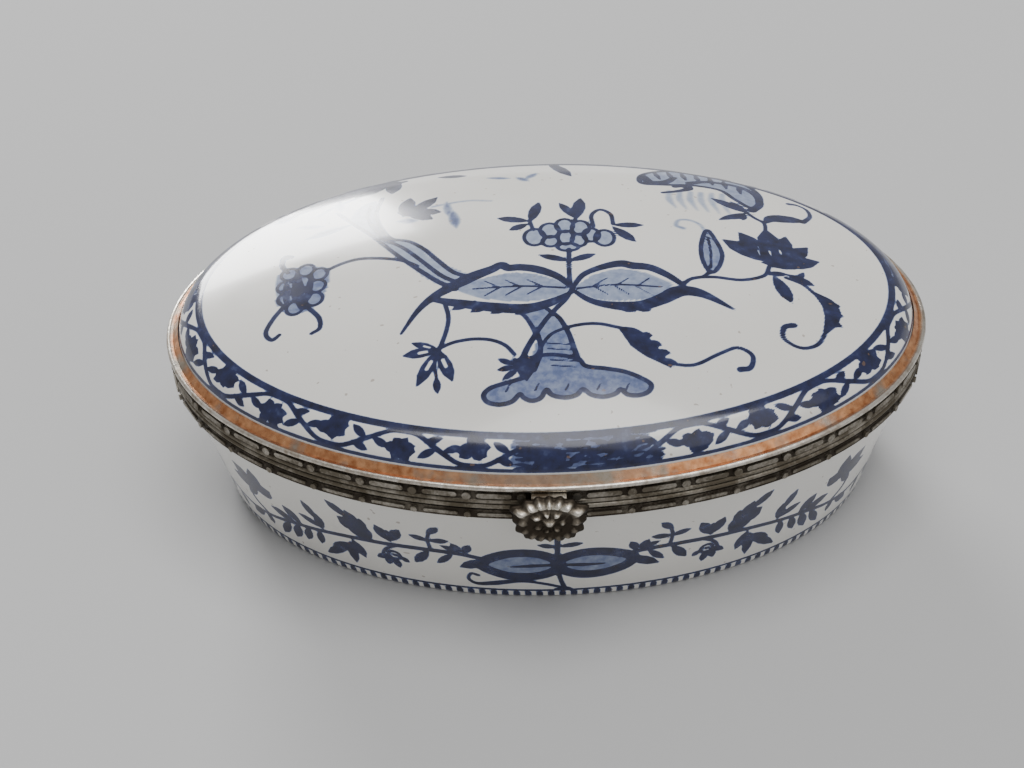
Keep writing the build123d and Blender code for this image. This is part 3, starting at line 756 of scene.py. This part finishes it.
def make_lid():
    """The lid's porcelain, with its painting."""
    shell = Shell()
    rim = shell.disc(dome_rings(0, CROWN_RINGS, SHOULDER_RINGS, SKIRT_RINGS), (0.5, 0.5, 0.49))
    painted = paint_lid(shell)
    inside = dome_rings(WALL, 14, 8, 2)
    count = len(rim) // PLAIN_SPARING
    start, end = shell.band(inside[:0:-1], count, (0.075, 0.075, 0.07), 0.005)
    shell.join(rim, start)
    shell.faces.append(end[::-1])
    return shell.build("lid_glazed", painted)


def paint_dish(shell):
    """The painting on the dish's wall, the same at its back as at its front."""
    along = along_oval(np.array(shell.angles), DISH_MIDDLE_INSET, math.pi)
    heights = np.array(shell.points)[:, 2]
    dish = Painting(np.column_stack([along, heights]))
    paint_dish_leaves(dish)
    for way in (-1, 1):
        paint_side(dish, way)
    paint_foot(dish, arc_length(DISH_MIDDLE_INSET)[0][-1] / 2)
    return {"line": dish.line, "wash": dish.wash}


def make_dish():
    """The dish's porcelain, with its painting."""
    shell = Shell()
    outside = [(DISH_EDGE_INSET, DISH_EDGE, 0), (DISH_EDGE_INSET, DISH_TAPER_TOP, 0),
               (FOOT_INSET, 0, FOOT_ROUND),
               (FOOT_INSET + 1.2, 0, 0)]
    rings = [oval(*point) for point in rounded_profile(outside, DISH_STEP)]
    rim, foot = shell.band(rings, DISH_SPOKES, (0.5, 0.5, 0.49), 0.22)
    painted = paint_dish(shell)
    count = DISH_SPOKES // PLAIN_SPARING
    recess = FOOT_INSET + FOOT_RING
    under = [(FOOT_INSET + 1.4, 0, 0), (recess, 0, 0.3), (recess + 0.1, FOOT_RECESS, 0.3),
             (recess + 14, FOOT_RECESS, 0)]
    rings = [oval(*point) for point in rounded_profile(under, 1.5)]
    start, end = shell.band(rings, count, (0.075, 0.075, 0.07), 0.02)
    shell.join(foot, start)
    shell.faces.append(end)
    taper = (FOOT_INSET - DISH_EDGE_INSET) / DISH_TAPER_TOP
    wall = DISH_EDGE_INSET + WALL
    inside = [(wall, DISH_EDGE, 0), (wall, DISH_TAPER_TOP, 0), (FOOT_INSET + WALL - taper * FLOOR,
                                                                FLOOR, FLOOR_ROUND),
              (FOOT_INSET + WALL + 14, FLOOR, 0)]
    rings = [oval(*point) for point in rounded_profile(inside, 1.2)]
    start, end = shell.band(rings, count, (0.5, 0.5, 0.2), 0.02)
    shell.join(rim, start)
    shell.faces.append(end)

    return shell.build("dish_glazed", painted)


# --- The clasp's rosette ---------------------------------------------------------------------------
def rosette_reach(turn):
    """How far the rosette's scalloped outline reaches at an angle, with an ear at each upper corner."""
    across = abs(math.cos(turn) / ROSETTE_HALF_WIDTH) ** 2.4
    up = abs(math.sin(turn) / ROSETTE_HALF_HEIGHT) ** 2.4
    ear = sum(math.exp(-(((turn - side) / 0.2) ** 2)) for side in (0.36, math.pi - 0.36))
    scallop = 1 - 0.045 * (1 - math.cos(ROSETTE_RIBS * (turn - math.pi / 2)))
    return (across + up) ** (-1 / 2.4) * scallop * (0.94 + 0.14 * ear)


def rosette_relief(share, turn):
    """The height of the rosette's relief, from its middle (share 0) to its outline (share 1)."""
    frill = math.exp(-(((share - 0.76) / 0.17) ** 2))
    ribs = math.cos(ROSETTE_RIBS * (turn - math.pi / 2))
    ring = math.exp(-(((share - 0.36) / 0.1) ** 2)) * (0.6 + 0.4 * math.cos(ROSETTE_BEADS * turn))
    button = math.exp(-((share / 0.16) ** 2))
    edge = 1 - share**6
    return (0.35 + 0.75 * frill + 0.24 * frill * ribs + 0.75 * ring + 1.0 * button) * edge


def make_rosette():
    """The cast rosette: a ribbed frill round a ring of beads and a button."""
    middle = (0.0, -ROSETTE_BACK, ROSETTE_HEIGHT)
    points = [Vector(middle) - Vector((0, rosette_relief(0, 0) + ROSETTE_PLATE, 0))]
    relief = [1.0]
    for ring in range(1, ROSETTE_RINGS + 2):
        share = min(ring / ROSETTE_RINGS, 1)
        for spoke in range(ROSETTE_SPOKES):
            turn = 2 * math.pi * spoke / ROSETTE_SPOKES - math.pi / 2
            height = rosette_relief(share, turn)
            reach = share * rosette_reach(turn)
            proud = height + ROSETTE_PLATE if ring <= ROSETTE_RINGS else 0.0
            points.append(Vector(middle) + Vector((reach * math.cos(turn), -proud, reach * math.sin(turn))))
            relief.append(min(height / 1.2, 1.0))
    faces = [(0, 1 + spoke, 1 + (spoke + 1) % ROSETTE_SPOKES) for spoke in range(ROSETTE_SPOKES)]
    for ring in range(ROSETTE_RINGS):
        for spoke in range(ROSETTE_SPOKES):
            after = (spoke + 1) % ROSETTE_SPOKES
            inner = 1 + ring * ROSETTE_SPOKES
            outer = inner + ROSETTE_SPOKES
            faces.append((inner + spoke, outer + spoke, outer + after, inner + after))
    last = 1 + ROSETTE_RINGS * ROSETTE_SPOKES
    faces.append(tuple(range(last + ROSETTE_SPOKES - 1, last - 1, -1)))
    mesh = bpy.data.meshes.new("clasp_flower")
    mesh.from_pydata([point * MM for point in points], [], faces)
    mesh.attributes.new("relief", "FLOAT", "POINT").data.foreach_set("value", relief)
    mesh.shade_smooth()
    return show("clasp_flower", mesh)


# --- Materials -------------------------------------------------------------------------------------
class Nodes:
    """A material's node tree, ending in one Principled shader."""

    def __init__(self, name):
        self.material = bpy.data.materials.new(name)
        self.material.use_nodes = True
        self.tree = self.material.node_tree
        self.shader = self.tree.nodes["Principled BSDF"]
        self.place = self.add("ShaderNodeTexCoord").outputs["Object"]

    def axes(self):
        """The place's X, Y and Z."""
        parts = self.add("ShaderNodeSeparateXYZ")
        self.feed(self.place, parts.inputs[0])
        return parts.outputs

    def stored(self, name):
        """A strength that the mesh's points carry."""
        return self.add("ShaderNodeAttribute", attribute_name=name).outputs["Fac"]

    def add(self, kind, **settings):
        """A new node of a kind, with its settings."""
        node = self.tree.nodes.new(kind)
        for setting, value in settings.items():
            setattr(node, setting, value)
        return node

    def feed(self, value, socket):
        """Connects an output to a socket, or sets a plain value on it."""
        if isinstance(value, bpy.types.NodeSocket):
            self.tree.links.new(value, socket)
        else:
            socket.default_value = value

    def noise(self, size, detail=3.0, rough=0.55):
        """Noise from 0 to 1 whose blots are about a size across, in millimetres."""
        node = self.add("ShaderNodeTexNoise")
        self.feed(self.place, node.inputs["Vector"])
        node.inputs["Scale"].default_value = 1 / (size * MM)
        node.inputs["Detail"].default_value = detail
        node.inputs["Roughness"].default_value = rough
        return node.outputs["Fac"]

    def ramp(self, factor, *stops):
        """A colour for a factor, from stops of place and colour."""
        node = self.add("ShaderNodeValToRGB")
        while len(node.color_ramp.elements) < len(stops):
            node.color_ramp.elements.new(0.5)
        for element, (place, colour) in zip(node.color_ramp.elements, stops):
            element.position = place
            element.color = (*colour, 1)
        self.feed(factor, node.inputs["Fac"])
        return node.outputs["Color"]

    def range(self, value, low, high, low_result=0.0, high_result=1.0):
        """A value stretched from one range to another, and held inside it."""
        node = self.add("ShaderNodeMapRange")
        self.feed(value, node.inputs["Value"])
        for socket, number in (("From Min", low), ("From Max", high), ("To Min", low_result),
                               ("To Max", high_result)):
            node.inputs[socket].default_value = number
        return node.outputs["Result"]

    def reckon(self, operation, first, second):
        """The result of a maths operation on two values."""
        node = self.add("ShaderNodeMath", operation=operation)
        self.feed(first, node.inputs[0])
        self.feed(second, node.inputs[1])
        return node.outputs[0]

    def times(self, first, second):
        """The product of two values."""
        return self.reckon("MULTIPLY", first, second)

    def mix(self, factor, first, second):
        """Two colours mixed by a factor."""
        node = self.add("ShaderNodeMix", data_type="RGBA")
        self.feed(factor, node.inputs[0])
        for value, socket in ((first, node.inputs[6]), (second, node.inputs[7])):
            self.feed(value if isinstance(value, bpy.types.NodeSocket) else (*value, 1), socket)
        return node.outputs[2]

    def bump(self, height, depth):
        """Shading relief of a depth in millimetres."""
        node = self.add("ShaderNodeBump")
        node.inputs["Distance"].default_value = depth * MM
        self.feed(height, node.inputs["Height"])
        self.feed(node.outputs["Normal"], self.shader.inputs["Normal"])

    def finish(self, colour, roughness, metallic=0.0):
        """Feeds the shader its main inputs, and returns the material."""
        self.feed(colour, self.shader.inputs["Base Color"])
        self.feed(roughness, self.shader.inputs["Roughness"])
        self.feed(metallic, self.shader.inputs["Metallic"])
        return self.material


def glaze():
    """White glaze over cobalt, with pooled ink and a few brown specks."""
    made = Nodes("painted_glaze")
    white = made.ramp(made.noise(30), (0.3, (0.77, 0.75, 0.70)), (0.7, (0.82, 0.805, 0.765)))
    line = made.stored("line")
    wash = made.stored("wash")
    uneven = made.times(line, made.range(made.noise(0.5, 3.0), 0.2, 0.8, 0.9, 1.1))
    firm = made.times(made.range(uneven, 0.27, 0.52), made.range(made.noise(1.8, 4.0), 0.3, 0.7, 0.74, 1.0))
    pooled = made.times(wash, made.range(made.noise(1.2, 4.0), 0.25, 0.75, 0.75, 1.2))
    ink = made.reckon("MAXIMUM", firm, pooled)
    blue = made.ramp(
        ink,
        (0.0, (0.79, 0.775, 0.735)),
        (0.3, (0.34, 0.395, 0.51)),
        (0.55, (0.105, 0.14, 0.28)),
        (0.8, (0.012, 0.018, 0.075)),
        (1.0, (0.003, 0.004, 0.022)),
    )
    painted = made.mix(made.range(ink, 0.0, 0.2), white, blue)
    specks = made.range(made.noise(0.9, 0.0), 0.825, 0.85)
    colour = made.mix(made.times(specks, 0.5), painted, (0.20, 0.12, 0.07))
    made.bump(made.noise(14, 1.0), 0.05)
    made.shader.inputs["Coat Weight"].default_value = 0.25
    made.shader.inputs["Coat Roughness"].default_value = 0.06
    made.shader.inputs["IOR"].default_value = 1.52
    return made.finish(colour, made.range(made.noise(9), 0.3, 0.7, 0.14, 0.22))


def silvered(name, bright, dark, wear, roughness):
    """Silver plate with brown tarnish. Wear is the share of it that is still bright."""
    made = Nodes(name)
    fine = made.noise(0.35, 2.0)
    blots = made.times(made.noise(4, 5.0, 0.6), 0.75)
    mixed = made.reckon("ADD", blots, made.times(fine, 0.25))
    clean = made.range(mixed, 0.56 - 0.25 * wear, 0.74 - 0.25 * wear)
    colour = made.mix(clean, dark, bright)
    made.bump(fine, 0.02)
    return made.finish(colour, made.range(clean, 0.0, 1.0, roughness + 0.22, roughness), 0.95)


def cast_metal():
    """The rosette's cast silver, dark in its hollows and rubbed bright on its raised relief, with painted
    light that brightens its upper part.
    """
    made = Nodes("cast_silver")
    relief = made.stored("relief")
    # Painted light: this brightens the colour towards the rosette's top, standing in for light that falls
    # from above.
    upper = made.range(made.axes()[2], 21.5 * MM, 25.0 * MM, -0.15, 0.45)
    grain = made.times(made.noise(0.6, 4.0), 0.5)
    # Dark hollows and rubbed relief, plus the painted top light, set both the colour and the roughness.
    wear_and_painted_light = made.range(made.reckon("ADD", made.reckon("ADD", relief, upper), grain), 0.75, 1.35)
    colour = made.ramp(wear_and_painted_light, (0.0, (0.05, 0.04, 0.03)), (0.5, (0.22, 0.19, 0.15)),
                       (1.0, (0.74, 0.70, 0.62)))
    made.bump(made.noise(0.3, 2.0), 0.04)
    return made.finish(colour, made.range(wear_and_painted_light, 0.0, 1.0, 0.55, 0.25), 1.0)


def mount_metal():
    """The mounts' silver plate, worn through to copper where it is burnished over the glaze."""
    made = Nodes("worn_mount")
    x, y, z = made.axes()
    along = made.reckon("DIVIDE", x, HALF_LENGTH * MM)
    across = made.reckon("DIVIDE", y, HALF_WIDTH * MM)
    radius = made.reckon("ADD", made.times(along, along), made.times(across, across))
    inner = made.range(radius, 0.985, 0.968)
    above = made.range(z, 26.0 * MM, 26.2 * MM)
    patches = made.range(made.noise(6, 4.0), 0.36, 0.5)
    sides = made.range(made.reckon("ABSOLUTE", along, 0.0), 0.08, 0.3, 0.35, 1.0)
    copper = made.times(made.times(inner, above), made.times(patches, sides))
    tarnish = made.range(made.noise(1.8, 5.0, 0.7), 0.38, 0.62)
    plate = made.mix(tarnish, (0.36, 0.31, 0.25), (0.74, 0.70, 0.63))
    plate = made.mix(made.times(made.times(inner, above), 0.6), plate, (0.27, 0.21, 0.15))
    reddish = made.ramp(made.noise(1.2, 3.0), (0.3, (0.40, 0.15, 0.06)), (0.7, (0.78, 0.40, 0.20)))
    colour = made.mix(copper, plate, reddish)
    made.bump(made.noise(0.5, 3.0), 0.02)
    return made.finish(colour, made.range(tarnish, 0.0, 1.0, 0.42, 0.24), 1.0)


def bedding():
    """Pale, chalky cement."""
    made = Nodes("chalky_cement")
    colour = made.ramp(made.noise(1.5, 4.0), (0.3, (0.42, 0.40, 0.36)), (0.7, (0.60, 0.58, 0.53)))
    made.bump(made.noise(0.4, 3.0), 0.05)
    return made.finish(colour, made.range(made.noise(0.8), 0.3, 0.7, 0.8, 0.95))


def dress(names, material):
    """Puts a material on carried-over CAD nodes."""
    for name in names:
        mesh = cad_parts[name].data
        mesh.materials.clear()
        mesh.materials.append(material)


def make_stage():
    """A plain pale floor, soft lights and the camera."""
    mesh = bpy.data.meshes.new("floor")
    reach = 3.0
    corners = [(-reach, -reach, 0), (reach, -reach, 0), (reach, reach, 0), (-reach, reach, 0)]
    mesh.from_pydata(corners, [], [(0, 1, 2, 3)])
    floor = show("floor", mesh)
    paper = bpy.data.materials.new("floor_paper")
    paper.use_nodes = True
    shader = paper.node_tree.nodes["Principled BSDF"]
    shader.inputs["Base Color"].default_value = (0.52, 0.52, 0.52, 1)
    shader.inputs["Roughness"].default_value = 0.9
    mesh.materials.append(paper)

    world = bpy.data.worlds.new("studio")
    bpy.context.scene.world = world
    world.use_nodes = True
    world.node_tree.nodes["Background"].inputs["Color"].default_value = (0.90, 0.90, 0.90, 1)
    world.node_tree.nodes["Background"].inputs["Strength"].default_value = 0.5
    for name, place, size, power in (
        ("window", (-0.4, 1.05, 0.3), 0.45, 15.0),
        ("fill", (0.7, -0.6, 0.8), 1.0, 2.5),
        ("top", (0.1, -0.1, 1.2), 0.8, 8.5),
    ):
        lamp = bpy.data.lights.new(name, "AREA")
        lamp.energy = power
        lamp.size = size
        light = show(name, lamp)
        light.location = place
        light.rotation_mode = "QUATERNION"
        light.rotation_quaternion = (-Vector(place)).to_track_quat("-Z", "Y")

    lens = bpy.data.cameras.new("camera")
    lens.lens = CAMERA_LENS
    lens.sensor_width = 36
    lens.clip_start = 0.01
    camera = show("camera", lens)
    raised = math.radians(CAMERA_ELEVATION)
    place = Vector((0, -math.cos(raised), math.sin(raised))) * CAMERA_DISTANCE
    camera.matrix_world = (
        Matrix.Translation(place)
        @ Matrix.Rotation(math.radians(90 - CAMERA_ELEVATION), 4, "X")
        @ Matrix.Rotation(math.radians(CAMERA_ROLL), 4, "Z")
        @ Matrix.Rotation(math.radians(-CAMERA_PAN), 4, "Y")
        @ Matrix.Rotation(math.radians(CAMERA_TILT), 4, "X")
    )
    bpy.context.scene.camera = camera


painted = glaze()
for porcelain, node, body, slot in (
    (make_lid(), "lid_porcelain", "lid", "lid_glaze"),
    (make_dish(), "body_porcelain", "dish", "dish_glaze"),
):
    porcelain.data.materials.append(painted)
    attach(porcelain, body)
    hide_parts(node)

dress(["lid_bezel", "base_bezel"], mount_metal())
dress(["lid_gallery", "base_gallery"], silvered("dark_gallery", (0.17, 0.15, 0.12), (0.05, 0.04, 0.03),
                                                0.3, 0.45))
dress(["lid_ornament", "base_ornament"], silvered("raised_ornament", (0.40, 0.37, 0.32),
                                                  (0.14, 0.12, 0.09), 0.45, 0.34))
dress(["lid_reed", "base_reed"], silvered("worn_reed", (0.34, 0.31, 0.26), (0.13, 0.11, 0.08), 0.45, 0.32))
dress(["lid_hinge_leaf", "base_hinge_leaf", "lid_hinge_knuckles", "base_hinge_knuckles"],
      silvered("worn_hinge", (0.55, 0.50, 0.43), (0.22, 0.18, 0.13), 0.6, 0.32))
dress(["hinge_pin"], silvered("steel_pin", (0.60, 0.59, 0.57), (0.25, 0.22, 0.19), 0.7, 0.28))
rosette = make_rosette()
rosette.data.materials.append(cast_metal())
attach(rosette, "lid")
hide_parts("clasp_rosette")
dress(["clasp_hook", "clasp_catch"], silvered("worn_clasp", (0.60, 0.56, 0.48), (0.12, 0.09, 0.06), 0.5,
                                              0.35))
dress(["lid_cement", "base_cement"], bedding())

make_stage()
